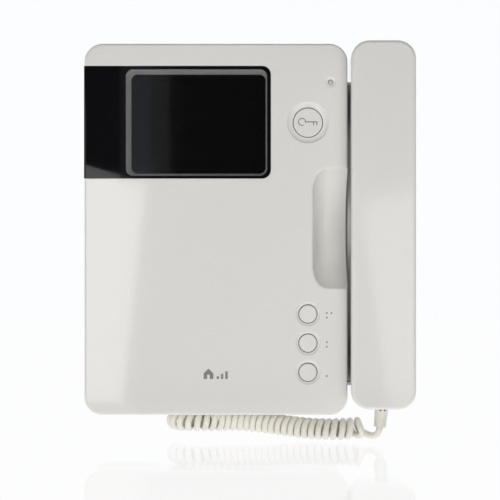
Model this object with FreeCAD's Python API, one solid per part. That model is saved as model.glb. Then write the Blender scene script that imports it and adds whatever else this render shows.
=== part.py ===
"""Wall-hung video intercom monitor with a corded handset.

Frame: +Z up, +X to the right as the user faces it, the wall is the plane Y = 0 and the
monitor stands out from it towards -Y. The origin is the centre of the wall bracket's screws.
All sizes are in millimetres. One STEP file per sub-part goes to parts/.
"""

import FreeCAD
import Part
import math
import os

# ---------------------------------------------------------------- main body
BODY_WIDTH = 158.0
BODY_HEIGHT = 223.0
BODY_DEPTH = 50.0  # wall to the cover's front face
CORNER_RADIUS = 11.0
EDGE_RADIUS = 1.5
COVER_DEPTH = 32.0
COVER_WALL = 2.2
COVER_FACE = 2.5  # thickness of the cover's front wall
COVER_DRAFT = 0.5  # how much each side pulls in towards the wall
HOUSING_INSET = 1.0  # the rear housing is this much smaller all round
HOUSING_WALL = 2.2
LIP_HEIGHT = 3.0  # tongue of the rear housing inside the cover
LIP_WALL = 1.2
FIT = 0.15  # general moulding clearance

# ---------------------------------------------------------------- wall bracket
BRACKET_WIDTH = 108.0
BRACKET_HEIGHT = 116.0
BRACKET_SHEET = 1.5
SCREW_SPACING_X = 60.0
SCREW_SPACING_Z = 83.5
SCREW_HOLE_RADIUS = 2.25
CABLE_HOLE_WIDTH = 44.0
CABLE_HOLE_HEIGHT = 50.0
BRACKET_RECESS = 6.0  # depth of the seat for the bracket and the screw heads
HOOK_X = 44.0
HOOK_Z = 18.0
HOOK_WIDTH = 10.0

# ---------------------------------------------------------------- screen
WINDOW_RIGHT = 33.0
WINDOW_TOP = 98.1
WINDOW_BOTTOM = 30.4
WINDOW_RADIUS = 5.2
WINDOW_PROUD = 0.3  # how far the wrapped end stands out from the cover's side
WINDOW_RETURN = 14.0  # depth of the end that wraps round the side
MASK_LEFT = -54.2  # the mask's front opening
MASK_RIGHT = 30.7
MASK_TOP = 96.2
MASK_BOTTOM = 32.1
MASK_RADIUS = 4.4
MASK_DEPTH = 20.0
MASK_WALL = 1.6
MASK_FLANGE = 2.5
MASK_PULL_IN = {"left": 2.0, "right": 0.7, "top": 1.3, "bottom": 2.1}
TUBE_BORDER = 7.0  # glass beyond the mask's rear opening
TUBE_DEPTH = 17.5
TUBE_GLASS = 2.5
NECK_RADIUS = 6.5
YOKE_RADIUS = 9.8
NECK_LENGTH = 52.0
PHOSPHOR_BORDER_X = 1.6
PHOSPHOR_BORDER_TOP = 3.8
PHOSPHOR_BORDER_BOTTOM = 2.6

# ---------------------------------------------------------------- buttons
BUTTON_X = 55.2
DOOR_BUTTON_Z = 64.1
AUX_BUTTON_Z = -68.3  # the middle one of three
AUX_BUTTON_PITCH = 17.5
DOOR_CAP_RADIUS = 8.65
AUX_CAP_RADIUS = 5.35
CAP_CLEARANCE = 0.45
DOOR_DISH_RADIUS = 12.6
AUX_DISH_RADIUS = 7.4
DOOR_DISH_DEPTH = 1.5
AUX_DISH_DEPTH = 0.8
DOOR_CAP_SET_BACK = 0.3
AUX_CAP_SET_BACK = 0.2
CAP_FLANGE = 1.3
CAP_FLANGE_THICKNESS = 1.2
CAP_GAP = 0.3  # between the flange and the back of the cover's collar
COLLAR_DEPTH = 2.0
COLLAR_WALL = 2.6
BUTTON_TRAVEL = 1.2
STEM_RADIUS = 1.75
SWITCH_SIDE = 6.0
SWITCH_HEIGHT = 4.3
KEYPAD_BOARD_Y = -37.5  # the face that the switches sit on
BOARD_SHEET = 1.6
LED_X = 68.8
LED_Z = 88.4
LED_RADIUS = 1.5
LED_DISH_RADIUS = 3.3
LED_DISH_DEPTH = 0.9
LED_LENGTH = 6.5
PRINT_THICKNESS = 0.12
DOT_RADIUS = 0.55
DOT_PITCH = 2.75
DOT_OFFSET_X = 11.3
EMBLEM_Z = -86.8

# ---------------------------------------------------------------- finger scoop
SCOOP_LEFT = 58.4
SCOOP_TOP = 36.8
SCOOP_BOTTOM = -35.6
SCOOP_DEPTH = 18.0
SCOOP_BLEND = 9.0  # rounding between the scoop's left wall and its floor

# ---------------------------------------------------------------- handset and cradle
HANDSET_LENGTH = 218.0
HANDSET_WIDTH = 38.5
HANDSET_PROUD = 20.0  # beyond the cover's face
HANDSET_THICKNESS = 40.0
HANDSET_GAP = 1.0
HANDSET_RADIUS = 11.0
HANDSET_EDGE = 2.0
HANDSET_DRAFT = 1.0
HANDSET_WALL = 2.0
HANDSET_FRONT_DEPTH = 18.0
GRIP_HOLLOW = 12.0
GRIP_BELOW_EAR = 32.5
GRIP_ABOVE_MOUTH = 29.5
GRIP_SLOPE = 16.0
EAR_FROM_TOP = 29.0
EAR_RADIUS = 15.0
EAR_DISH = 5.0
EAR_SCREW_DROP = 28.5  # below the earpiece's centre
MOUTH_FROM_BOTTOM = 25.0
MOUTH_SCREW_RISE = 24.0
WEIGHT_BELOW_EAR = 48.5
WEIGHT_ABOVE_MOUTH = 41.5
MOUTH_RADIUS = 11.0
MOUTH_DISH = 4.0
DISH_FLOOR = 2.0
CRADLE_TOP = 91.0
CRADLE_BOTTOM = -96.0
CRADLE_RIGHT_INSET = 3.8  # inside the handset's right side
CRADLE_RADIUS = 8.0
CRADLE_WALL = 2.0
CRADLE_CLEARANCE = 0.3
EAR_LUG_RADIUS = 11.5
EAR_LUG_HEIGHT = 3.2
MOUTH_LUG_RADIUS = 8.0
MOUTH_LUG_HEIGHT = 2.5
PLUNGER_RADIUS = 2.6
PLUNGER_Z = -60.0
PLUNGER_TRAVEL = 3.0
PLUNGER_CLEARANCE = 0.2
PLUNGER_REST_GAP = 0.3
RELIEF_LENGTH = 11.8
RELIEF_TOP_RADIUS = 4.1
RELIEF_END_RADIUS = 3.5
RELIEF_NECK_RADIUS = 3.9
RELIEF_LEAN = (-0.087, 0.06)  # sideways and backwards for each mm down

# ---------------------------------------------------------------- inner parts
MAIN_BOARD_Y = -16.0
MAIN_BOARD_MARGIN = 4.5  # from the body's left side
MAIN_BOARD_RIGHT = 52.0
MAIN_BOARD_TOP = -34.0
MAIN_BOARD_BOTTOM = -78.0
WHEEL_RADIUS = 8.6
WHEEL_THICKNESS = 2.5
WHEEL_PROUD = 1.5
WHEEL_BORE = 1.6
WHEEL_Z = (-45.0, -66.0)
WHEEL_TEETH = 28
WHEEL_GAP = 0.5
POT_HEIGHT = 3.0
TERMINAL_X = 27.0
TERMINAL_Z = -52.5
TERMINAL_WIDTH = 40.0
TERMINAL_HEIGHT = 10.0
TERMINAL_DEPTH = 10.0
TERMINAL_WAYS = 8

# ---------------------------------------------------------------- cord
CORD_DIAMETER = 3.9
COIL_DIAMETER = 12.6
JACK_X = -23.75
JACK_Y = -9.0
BAY_WIDTH = 28.0
BAY_HEIGHT = 26.5
PLUG_WIDTH = 9.7
PLUG_DEPTH = 6.6
PLUG_LENGTH = 16.0
PLUG_OUTSIDE = 4.0
JACK_CLEARANCE = 0.2
COIL_POINTS = [
    (87.4, -41.3, -119.8),
    (77.5, -43.8, -120.5),
    (66.0, -42.2, -120.9),
    (54.0, -37.8, -120.7),
    (42.0, -32.2, -119.8),
    (30.0, -26.2, -118.7),
    (18.0, -21.8, -118.15),
    (6.5, -21.6, -118.0),
    (-3.8, -24.2, -118.0),
    (-13.0, -24.8, -118.1),
    (-20.6, -21.4, -118.2),
    (-25.4, -14.8, -118.15),
    (-26.6, -6.6, -118.1),
]
HANDSET_TAIL_POINTS = [
    (98.229, -51.296, -118.234),
    (97.961, -51.111, -121.317),
    (95.3, -49.6, -123.9),
    (92.2, -46.9, -124.0),
    (87.4, -42.9, -122.4),
]
PLUG_TAIL_POINTS = [
    (-21.75, -10.4, -116.0),
    (-21.75, -9.9, -109.4),
    (-23.0, -9.2, -102.4),
    (-23.75, -9.0, -95.4),
    (-23.75, -9.0, -88.0),
]

# ---------------------------------------------------------------- worked-out places
COVER_FRONT = -BODY_DEPTH
COVER_INSIDE = COVER_FRONT + COVER_FACE
PARTING = COVER_FRONT + COVER_DEPTH
BODY_LEFT = -BODY_WIDTH / 2
BODY_RIGHT = BODY_WIDTH / 2
BODY_TOP = BODY_HEIGHT / 2
BODY_BOTTOM = -BODY_HEIGHT / 2
HOUSING_LEFT = BODY_LEFT + HOUSING_INSET
HOUSING_RIGHT = BODY_RIGHT - HOUSING_INSET
HOUSING_TOP = BODY_TOP - HOUSING_INSET
HOUSING_BOTTOM = BODY_BOTTOM + HOUSING_INSET
RECESS_FLOOR = -BRACKET_RECESS - HOUSING_WALL
HANDSET_FRONT = COVER_FRONT - HANDSET_PROUD
HANDSET_BACK = HANDSET_FRONT + HANDSET_THICKNESS
HANDSET_PARTING = HANDSET_FRONT + HANDSET_FRONT_DEPTH
HANDSET_LEFT = BODY_RIGHT + HANDSET_GAP
HANDSET_RIGHT = HANDSET_LEFT + HANDSET_WIDTH
HANDSET_X = (HANDSET_LEFT + HANDSET_RIGHT) / 2
HANDSET_TOP = BODY_TOP
HANDSET_BOTTOM = HANDSET_TOP - HANDSET_LENGTH
SCREW_SEAT = HANDSET_PARTING + 5.0  # under the heads of the handset's screws
MAIN_BOARD_LEFT = BODY_LEFT + MAIN_BOARD_MARGIN
EAR_Z = HANDSET_TOP - EAR_FROM_TOP
MOUTH_Z = HANDSET_BOTTOM + MOUTH_FROM_BOTTOM
GRIP_TOP = EAR_Z - GRIP_BELOW_EAR
GRIP_BOTTOM = MOUTH_Z + GRIP_ABOVE_MOUTH
CRADLE_FRONT = HANDSET_BACK + CRADLE_CLEARANCE
CRADLE_LEFT = BODY_RIGHT + 0.4
CRADLE_RIGHT = HANDSET_RIGHT - CRADLE_RIGHT_INSET
BAY_CEILING = HOUSING_BOTTOM + BAY_HEIGHT
PLUG_BOTTOM = BAY_CEILING - PLUG_OUTSIDE
TUBE_FRONT = COVER_INSIDE + MASK_DEPTH
MAIN_BOARD_BACK = MAIN_BOARD_Y + BOARD_SHEET
BEYOND = 1.0  # how far a cutting tool runs past a face


# ---------------------------------------------------------------- helpers
def vec(x, y, z):
    return FreeCAD.Vector(x, y, z)


ALONG_Y = vec(0, 1, 0)
ALONG_Z = vec(0, 0, 1)


def block(x0, x1, y0, y1, z0, z1):
    return Part.makeBox(x1 - x0, y1 - y0, z1 - z0, vec(x0, y0, z0))


def rod(radius, x, z, y0, y1):
    """A round bar along Y."""
    return Part.makeCylinder(radius, y1 - y0, vec(x, y0, z), ALONG_Y)


def outline(x0, x1, z0, z1, radius, y):
    """A rounded rectangle in the plane at y, always drawn in the same order."""
    r = min(radius, (x1 - x0) / 2 - 0.01, (z1 - z0) / 2 - 0.01)
    s = r * (1 - math.sqrt(0.5))
    corners = [
        ((x0, z0 + r), (x0 + s, z0 + s), (x0 + r, z0)),
        ((x1 - r, z0), (x1 - s, z0 + s), (x1, z0 + r)),
        ((x1, z1 - r), (x1 - s, z1 - s), (x1 - r, z1)),
        ((x0 + r, z1), (x0 + s, z1 - s), (x0, z1 - r)),
    ]
    edges = []
    for i, (start, middle, end) in enumerate(corners):
        a, m, b = (vec(x, y, z) for x, z in (start, middle, end))
        following = corners[(i + 1) % 4][0]
        edges.append(Part.Arc(a, m, b).toShape())
        edges.append(Part.LineSegment(b, vec(following[0], y, following[1])).toShape())
    return Part.Wire(edges)


def slab(x0, x1, z0, z1, radius, y0, y1, pull_in=0.0):
    """A rounded block from y0 to y1, smaller at y1 by pull_in on each side."""
    near = outline(x0, x1, z0, z1, radius, y0)
    p = pull_in
    far = outline(x0 + p, x1 - p, z0 + p, z1 - p, radius - p, y1)
    return Part.makeLoft([near, far], True, True)


def edges_at(shape, y, tolerance=1e-4):
    """The edges that lie wholly in the plane at y."""
    return [
        e
        for e in shape.Edges
        if e.BoundBox.YMin > y - tolerance and e.BoundBox.YMax < y + tolerance
    ]


def rounded_at(shape, y, radius):
    return shape.makeFillet(radius, edges_at(shape, y))


def joined(shapes):
    result = shapes[0]
    for other in shapes[1:]:
        result = result.fuse(other)
    return result.removeSplitter()


def without(shape, tools):
    for tool in tools:
        shape = shape.cut(tool)
    return shape


def dish(x, z, outer, inner, depth, y):
    """A shallow hollow with a concave rim, sunk from the plane at y."""
    rim = vec(outer, y, 0)
    foot = vec(inner, y + depth, 0)
    middle = vec(inner + (outer - inner) * 0.42, y + depth * 0.78, 0)
    above = y - BEYOND
    wall = Part.Arc(rim, middle, foot).toShape()
    lines = [
        Part.LineSegment(foot, vec(0, y + depth, 0)).toShape(),
        Part.LineSegment(vec(0, y + depth, 0), vec(0, above, 0)).toShape(),
        Part.LineSegment(vec(0, above, 0), vec(outer, above, 0)).toShape(),
        Part.LineSegment(vec(outer, above, 0), rim).toShape(),
    ]
    face = Part.Face(Part.Wire([wall] + lines))
    solid = face.revolve(vec(0, 0, 0), ALONG_Y, 360)
    solid.translate(vec(x, 0, z))
    return solid


def pan_screw(x, z, head_y, length, radius, head_radius, towards):
    """A cross-slotted screw along Y; towards is +1 or -1, the way the shank points."""
    head_depth = radius * 1.3
    under = head_y + towards * head_depth
    head = rod(head_radius, x, z, min(head_y, under), max(head_y, under))
    tip = under + towards * length
    shank = rod(radius, x, z, min(under, tip), max(under, tip))
    slot_floor = head_y + towards * head_depth * 0.5
    low, high = min(head_y, slot_floor) - 0.01, max(head_y, slot_floor) + 0.01
    long, thin = head_radius * 0.7, head_radius * 0.14
    slots = [
        block(x - long, x + long, low, high, z - thin, z + thin),
        block(x - thin, x + thin, low, high, z - long, z + long),
    ]
    return without(joined([head, shank]), slots)


def routed_wire(points):
    """Straight runs joined by tangent arcs, each arc 0.45 of its shorter run long."""
    corners = [vec(*p) for p in points]
    edges, start, radii = [], corners[0], []
    for a, b, c in zip(corners, corners[1:], corners[2:]):
        into, out = (b - a).normalize(), (c - b).normalize()
        half_turn = into.getAngle(out) / 2
        back = 0.45 * min((b - a).Length, (c - b).Length)
        radius = back / math.tan(half_turn)
        first, last = b - into * back, b + out * back
        inward = (out - into).normalize()
        middle = b + inward * (radius / math.cos(half_turn) - radius)
        edges.append(Part.LineSegment(start, first).toShape())
        edges.append(Part.Arc(first, middle, last).toShape())
        radii.append(round(radius, 1))
        start = last
    edges.append(Part.LineSegment(start, corners[-1]).toShape())
    return Part.Wire(edges), radii


def tube_along(points, diameter):
    """A round tube on the route, with its radii and its volume against section times length."""
    route, radii = routed_wire(points)
    along = vec(*points[1]) - vec(*points[0])
    circle = Part.makeCircle(diameter / 2, vec(*points[0]), along)
    tube = route.makePipeShell([Part.Wire([circle])], True, True)
    share = tube.Volume / (math.pi * diameter**2 / 4 * route.Length)
    print(f"tube {diameter} mm: radii {radii}, length {route.Length:.1f}, volume share {share:.4f}")
    return tube


# ---------------------------------------------------------------- wall bracket
def wall_bracket():
    """Pressed steel plate with four screw holes, a cable opening and four hooks."""
    w, h = BRACKET_WIDTH / 2, BRACKET_HEIGHT / 2
    plate = slab(-w, w, -h, h, 5.0, -BRACKET_SHEET, 0)
    cw, ch = CABLE_HOLE_WIDTH / 2, CABLE_HOLE_HEIGHT / 2
    tools = [slab(-cw, cw, -ch, ch, 4.0, -BRACKET_SHEET - BEYOND, BEYOND)]
    for sx in (-1, 1):
        for sz in (-1, 1):
            x, z = sx * SCREW_SPACING_X / 2, sz * SCREW_SPACING_Z / 2
            tools.append(rod(SCREW_HOLE_RADIUS, x, z, -BRACKET_SHEET - BEYOND, BEYOND))
    plate = without(plate, tools)
    reach = BRACKET_RECESS + HOUSING_WALL + 2.6
    hooks = []
    for x in (-HOOK_X, HOOK_X):
        for z in (-HOOK_Z, HOOK_Z):
            x0, x1 = x - HOOK_WIDTH / 2, x + HOOK_WIDTH / 2
            hooks.append(block(x0, x1, -reach, -BRACKET_SHEET + 0.2, z, z + BRACKET_SHEET))
            hooks.append(block(x0, x1, -reach, -reach + BRACKET_SHEET, z, z + 5.0))
    return joined([plate] + hooks)


# ---------------------------------------------------------------- rear housing
def housing_block(inset, y0, y1):
    return slab(
        HOUSING_LEFT + inset,
        HOUSING_RIGHT - inset,
        HOUSING_BOTTOM + inset,
        HOUSING_TOP - inset,
        CORNER_RADIUS - HOUSING_INSET - inset,
        y0,
        y1,
    )


def bay_box(grow, y0, y1):
    """The space for the cord's plug at the lower edge, open below and to the wall."""
    half = BAY_WIDTH / 2 + grow
    return block(JACK_X - half, JACK_X + half, y0, y1, BODY_BOTTOM - BEYOND, BAY_CEILING + grow)


def rear_housing():
    """Moulded tray against the wall, with the bracket seat, cord bay and vents."""
    outer = housing_block(0, PARTING, 0)
    inner = housing_block(HOUSING_WALL, PARTING - BEYOND, -HOUSING_WALL)
    w, h = BRACKET_WIDTH / 2 + 1.0, BRACKET_HEIGHT / 2 + 1.0
    seat = slab(-w, w, -h, h, 6.0, -BRACKET_RECESS, BEYOND)
    seat_wall = slab(
        -w - HOUSING_WALL,
        w + HOUSING_WALL,
        -h - HOUSING_WALL,
        h + HOUSING_WALL,
        6.0 + HOUSING_WALL,
        RECESS_FLOOR,
        BEYOND,
    )
    bay_wall = bay_box(HOUSING_WALL, PARTING, BEYOND)
    inner = without(inner, [seat_wall, bay_wall])
    shell = without(outer, [inner, seat, bay_box(0, PARTING + HOUSING_WALL, BEYOND)])
    # tongue that goes inside the front cover, left out at the wheels and the cord bay
    gap = COVER_WALL + FIT + COVER_DRAFT - HOUSING_INSET
    lip_args = (CORNER_RADIUS - COVER_WALL - 1.0, PARTING - LIP_HEIGHT, PARTING + 1.0)
    lip = slab(
        HOUSING_LEFT + gap,
        HOUSING_RIGHT - gap,
        HOUSING_BOTTOM + gap,
        HOUSING_TOP - gap,
        *lip_args,
    )
    core = gap + LIP_WALL
    lip = lip.cut(
        slab(
            HOUSING_LEFT + core,
            HOUSING_RIGHT - core,
            HOUSING_BOTTOM + core,
            HOUSING_TOP - core,
            lip_args[0] - LIP_WALL,
            lip_args[1] - BEYOND,
            lip_args[2] + BEYOND,
        )
    )
    reach = PARTING - LIP_HEIGHT - BEYOND
    lip = without(
        lip,
        [
            block(BODY_LEFT - 9, MAIN_BOARD_LEFT + 9, reach, 0, WHEEL_Z[1] - 12, WHEEL_Z[0] + 12),
            bay_box(HOUSING_WALL + 0.4, reach, 0),
        ],
    )
    posts = [rod(4.8, x, z, PARTING + 4.0, -HOUSING_WALL) for x, z in cover_screw_places()]
    for x, z in main_screw_places():
        seated = abs(x) < BRACKET_WIDTH / 2 and abs(z) < BRACKET_HEIGHT / 2
        foot = RECESS_FLOOR + 0.5 if seated else -HOUSING_WALL + 0.5
        posts.append(rod(3.0, x, z, MAIN_BOARD_BACK, foot))
    shell = joined([shell, lip] + posts)
    tools = [rod(1.7, x, z, PARTING + 4.0 - BEYOND, BEYOND) for x, z in cover_screw_places()]
    tools += [rod(3.4, x, z, -2.785, BEYOND) for x, z in cover_screw_places()]
    tools += [rod(1.55, x, z, MAIN_BOARD_BACK - 1, -11.6) for x, z in main_screw_places()]
    for x in (-HOOK_X, HOOK_X):
        for z in (-HOOK_Z, HOOK_Z):
            half = HOOK_WIDTH / 2 + 0.6
            tools.append(block(x - half, x + half, RECESS_FLOOR - 1, 0, z - 1.0, z + 7.0))
    tools += cradle_joint_holes()
    half = TERMINAL_WIDTH / 2 + 0.5
    tools.append(
        block(
            TERMINAL_X - half,
            TERMINAL_X + half,
            RECESS_FLOOR - 1,
            0,
            TERMINAL_Z - TERMINAL_HEIGHT / 2 - 0.5,
            TERMINAL_Z + TERMINAL_HEIGHT / 2 + 0.5,
        )
    )
    jw, jd = PLUG_WIDTH / 2 + JACK_CLEARANCE, PLUG_DEPTH / 2 + JACK_CLEARANCE
    tools.append(
        block(JACK_X - jw, JACK_X + jw, JACK_Y - jd, JACK_Y + jd, BAY_CEILING - 1, BAY_CEILING + 4)
    )
    # vent slots in the upper edge above the tube, and sound slots in the lower edge
    for i in range(12):
        x = -50.0 + 6.0 * i
        tools.append(block(x, x + 2.4, -14.0, -6.0, HOUSING_TOP - 5, HOUSING_TOP + 1))
    for i in range(6):
        x = 12.0 + 4.5 * i
        tools.append(block(x, x + 2.0, -14.0, -6.0, HOUSING_BOTTOM - 1, HOUSING_BOTTOM + 5))
    return without(shell, tools)


def cover_screw_places():
    """Two screws near the lower corners and two near the upper ones."""
    x, z = BODY_RIGHT - 12.0, BODY_TOP - 8.2
    return [(-x, -z), (x - 14.0, -z), (-x, z), (x - 14.0, z)]


# ---------------------------------------------------------------- cradle base
def cradle_screw_heights():
    return (CRADLE_TOP - 16.0, CRADLE_BOTTOM + 16.0)


def cradle_joint_holes():
    """Screw holes and the wire passage through the walls where the base meets the housing."""
    x, y = HOUSING_RIGHT - HOUSING_WALL - BEYOND, PARTING / 2
    length = HOUSING_WALL + CRADLE_WALL + 2 * BEYOND
    along = vec(1, 0, 0)
    holes = [Part.makeCylinder(1.55, length, vec(x, y, z), along) for z in cradle_screw_heights()]
    return holes + [Part.makeCylinder(3.5, length, vec(x, y, PLUNGER_Z + 18.0), along)]


def cradle_block(inset, y0, y1):
    """The base's outline: square against the housing, rounded on its free side."""
    left = HOUSING_RIGHT + inset
    low, high = CRADLE_BOTTOM + inset, CRADLE_TOP - inset
    free = slab(left, CRADLE_RIGHT - inset, low, high, CRADLE_RADIUS - inset, y0, y1)
    return joined([free, block(left, left + 12.0, y0, y1, low, high)])


def cradle_base():
    """Tray on the wall beside the housing, which carries the cradle and the hook switch."""
    tray = cradle_block(0, PARTING, 0)
    tray = tray.cut(cradle_block(CRADLE_WALL, PARTING - BEYOND, -HOUSING_WALL))
    return without(tray, cradle_joint_holes())


def cradle_screws():
    """Two screws from inside the housing into the cradle's base."""
    made = []
    for z in cradle_screw_heights():
        screw = pan_screw(0, 0, 1.95, 6.0, 1.5, 2.8, -1)
        screw.rotate(vec(0, 0, 0), ALONG_Z, 90)
        screw.translate(vec(HOUSING_RIGHT - HOUSING_WALL, PARTING / 2, z))
        made.append(screw)
    return Part.makeCompound(made)


# ---------------------------------------------------------------- front cover
def scoop(grow):
    """The bowl that lets fingers reach behind the handset, open on its right."""
    half = (SCOOP_TOP - SCOOP_BOTTOM) / 2
    radius = (half * half + SCOOP_DEPTH * SCOOP_DEPTH) / (2 * SCOOP_DEPTH)
    centre = vec(
        SCOOP_LEFT - grow, COVER_FRONT + SCOOP_DEPTH - radius, (SCOOP_TOP + SCOOP_BOTTOM) / 2
    )
    length = BODY_RIGHT + 10.0 - centre.x
    bar = Part.makeCylinder(radius + grow, length, centre, vec(1, 0, 0))
    end = [e for e in bar.Edges if e.BoundBox.XMax < centre.x + 1e-3]
    return bar.makeFillet(SCOOP_BLEND + grow, end)


def window_opening(grow, y_front, y_back):
    """The cut for the window, with square corners at the left where it wraps round."""
    right = slab(
        BODY_LEFT + 20,
        WINDOW_RIGHT + grow,
        WINDOW_BOTTOM - grow,
        WINDOW_TOP + grow,
        WINDOW_RADIUS + grow,
        y_front,
        y_back,
    )
    left = block(
        BODY_LEFT - 5,
        BODY_LEFT + 40,
        y_front,
        y_back,
        WINDOW_BOTTOM - grow,
        WINDOW_TOP + grow,
    )
    return right.fuse(left)


def button_places():
    """(name, z, cap radius, dish radius, dish depth, set-back) of each button."""
    big = (DOOR_CAP_RADIUS, DOOR_DISH_RADIUS, DOOR_DISH_DEPTH, DOOR_CAP_SET_BACK)
    small = (AUX_CAP_RADIUS, AUX_DISH_RADIUS, AUX_DISH_DEPTH, AUX_CAP_SET_BACK)
    return [
        ("door_release_button", DOOR_BUTTON_Z) + big,
        ("upper_button", AUX_BUTTON_Z + AUX_BUTTON_PITCH) + small,
        ("middle_button", AUX_BUTTON_Z) + small,
        ("lower_button", AUX_BUTTON_Z - AUX_BUTTON_PITCH) + small,
    ]


def cover_block(inset, y0, y1):
    return slab(
        BODY_LEFT + inset,
        BODY_RIGHT - inset,
        BODY_BOTTOM + inset,
        BODY_TOP - inset,
        CORNER_RADIUS - inset,
        y0,
        y1,
        COVER_DRAFT,
    )


def front_cover():
    """Glossy moulded cover with the window opening, button dishes and finger scoop."""
    outer = cover_block(0, COVER_FRONT, PARTING).cut(scoop(0))
    outer = rounded_at(outer, COVER_FRONT, EDGE_RADIUS)
    inner = cover_block(COVER_WALL, COVER_INSIDE, PARTING + BEYOND)
    inner = inner.cut(scoop(COVER_WALL))
    shell = outer.cut(inner)
    collars = [
        rod(cap + CAP_CLEARANCE + COLLAR_WALL, BUTTON_X, z, COVER_INSIDE - 0.5, COVER_INSIDE + COLLAR_DEPTH)
        for _, z, cap, _, _, _ in button_places()
    ]
    bosses = [rod(3.4, x, z, COVER_INSIDE - 0.5, PARTING + 3.9) for x, z in cover_screw_places()]
    board_posts = [
        rod(2.6, x, z, COVER_INSIDE - 0.5, KEYPAD_BOARD_Y) for x, z in keypad_screw_places()
    ]
    led_tube = rod(LED_RADIUS + 1.6, LED_X, LED_Z, COVER_INSIDE - 0.5, COVER_INSIDE + 2.5)
    shell = joined([shell] + collars + bosses + board_posts + [led_tube])
    tools = [window_opening(0, COVER_FRONT - BEYOND, COVER_INSIDE + 0.01)]
    tools.append(
        block(
            BODY_LEFT - 5,
            BODY_LEFT + 6.5,
            COVER_FRONT - BEYOND,
            COVER_FRONT + WINDOW_RETURN,
            WINDOW_BOTTOM,
            WINDOW_TOP,
        )
    )
    for _, z, cap, rim, depth, _ in button_places():
        hole = cap + CAP_CLEARANCE
        tools.append(dish(BUTTON_X, z, rim, hole, depth, COVER_FRONT))
        tools.append(rod(hole, BUTTON_X, z, COVER_FRONT - BEYOND, COVER_INSIDE + COLLAR_DEPTH + BEYOND))
    tools.append(dish(LED_X, LED_Z, LED_DISH_RADIUS, LED_RADIUS + 0.1, LED_DISH_DEPTH, COVER_FRONT))
    tools.append(rod(LED_RADIUS + 0.1, LED_X, LED_Z, COVER_FRONT, COVER_INSIDE + 4.0))
    tools += [rod(1.5, x, z, PARTING - 12, PARTING + 4) for x, z in cover_screw_places()]
    tools += [rod(0.95, x, z, KEYPAD_BOARD_Y - 6, KEYPAD_BOARD_Y + 1) for x, z in keypad_screw_places()]
    wheel_y0, wheel_y1 = wheel_span()
    for z in WHEEL_Z:
        tools.append(
            block(BODY_LEFT - 1, BODY_LEFT + 4, wheel_y0 - WHEEL_GAP, PARTING + 1, z - 8.2, z + 8.2)
        )
    return without(shell, tools)


# ---------------------------------------------------------------- screen parts
def screen_window():
    """Smoked panel that fills the opening and wraps round the cover's left side."""
    front = COVER_FRONT
    plate = window_opening(-FIT, front, COVER_INSIDE)
    left = BODY_LEFT - WINDOW_PROUD
    plate = plate.common(
        block(left, WINDOW_RIGHT, front - 1, 0, WINDOW_BOTTOM, WINDOW_TOP)
    )
    end = block(
        left,
        left + COVER_WALL,
        front,
        front + WINDOW_RETURN - FIT,
        WINDOW_BOTTOM + FIT,
        WINDOW_TOP - FIT,
    )
    body = joined([plate, end])
    corner = [
        e
        for e in body.Edges
        if e.BoundBox.XMax < left + 1e-3 and abs(e.BoundBox.YMax - front) < 1e-3
    ]
    return body.makeFillet(EDGE_RADIUS - 0.3, corner)


def mask_hollow(grow, y0, y1):
    """The mask's tapering light well; grow thickens it outwards."""
    pull = MASK_PULL_IN
    near = outline(
        MASK_LEFT - grow, MASK_RIGHT + grow, MASK_BOTTOM - grow, MASK_TOP + grow, MASK_RADIUS + grow, y0
    )
    far = outline(
        MASK_LEFT + pull["left"] - grow,
        MASK_RIGHT - pull["right"] + grow,
        MASK_BOTTOM + pull["bottom"] - grow,
        MASK_TOP - pull["top"] + grow,
        MASK_RADIUS - 0.6 + grow,
        y1,
    )
    return Part.makeLoft([near, far], True, True)


def screen_mask():
    """Hood between the window and the tube, with a flange behind the cover."""
    front, back = COVER_INSIDE, COVER_INSIDE + MASK_DEPTH
    well = mask_hollow(MASK_WALL, front, back)
    flange = slab(
        BODY_LEFT + COVER_WALL + 1.0,
        WINDOW_RIGHT + MASK_FLANGE,
        WINDOW_BOTTOM - MASK_FLANGE,
        WINDOW_TOP + MASK_FLANGE,
        WINDOW_RADIUS,
        front,
        front + MASK_WALL,
    )
    bosses = [rod(3.8, x, z, front - 1, back) for x, z in cover_screw_places()]
    return without(joined([well, flange]), [mask_hollow(0, front, back)] + bosses)


def screen_rectangle():
    """(left, right, bottom, top) of the mask's rear opening."""
    p = MASK_PULL_IN
    return (
        MASK_LEFT + p["left"],
        MASK_RIGHT - p["right"],
        MASK_BOTTOM + p["bottom"],
        MASK_TOP - p["top"],
    )


def tube_bulb(inset):
    """Flat picture tube: a shallow glass box with its neck hanging below."""
    left, right, bottom, top = screen_rectangle()
    b = TUBE_BORDER - inset
    box = slab(
        left - b,
        right + b,
        bottom - b,
        top + b,
        8.0 - inset,
        TUBE_FRONT + inset,
        TUBE_FRONT + TUBE_DEPTH - inset,
    )
    x = (left + right) / 2
    y = TUBE_FRONT + TUBE_DEPTH / 2
    neck_top = bottom - TUBE_BORDER + 4.0 + inset
    radius = NECK_RADIUS - inset
    neck = Part.makeCylinder(radius, NECK_LENGTH + 4.0, vec(x, y, neck_top), vec(0, 0, -1))
    return box.fuse(neck), (x, y, neck_top - NECK_LENGTH - 4.0)


def picture_tube():
    outer, _ = tube_bulb(0)
    inner, _ = tube_bulb(TUBE_GLASS)
    return outer.removeSplitter().cut(inner)


def phosphor_screen():
    """Coated plate behind the tube's face, seen through the glass."""
    left, right, bottom, top = screen_rectangle()
    y = TUBE_FRONT + TUBE_GLASS
    return slab(
        left + PHOSPHOR_BORDER_X,
        right - PHOSPHOR_BORDER_X,
        bottom + PHOSPHOR_BORDER_BOTTOM,
        top - PHOSPHOR_BORDER_TOP,
        2.5,
        y,
        y + 1.2,
    )


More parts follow.
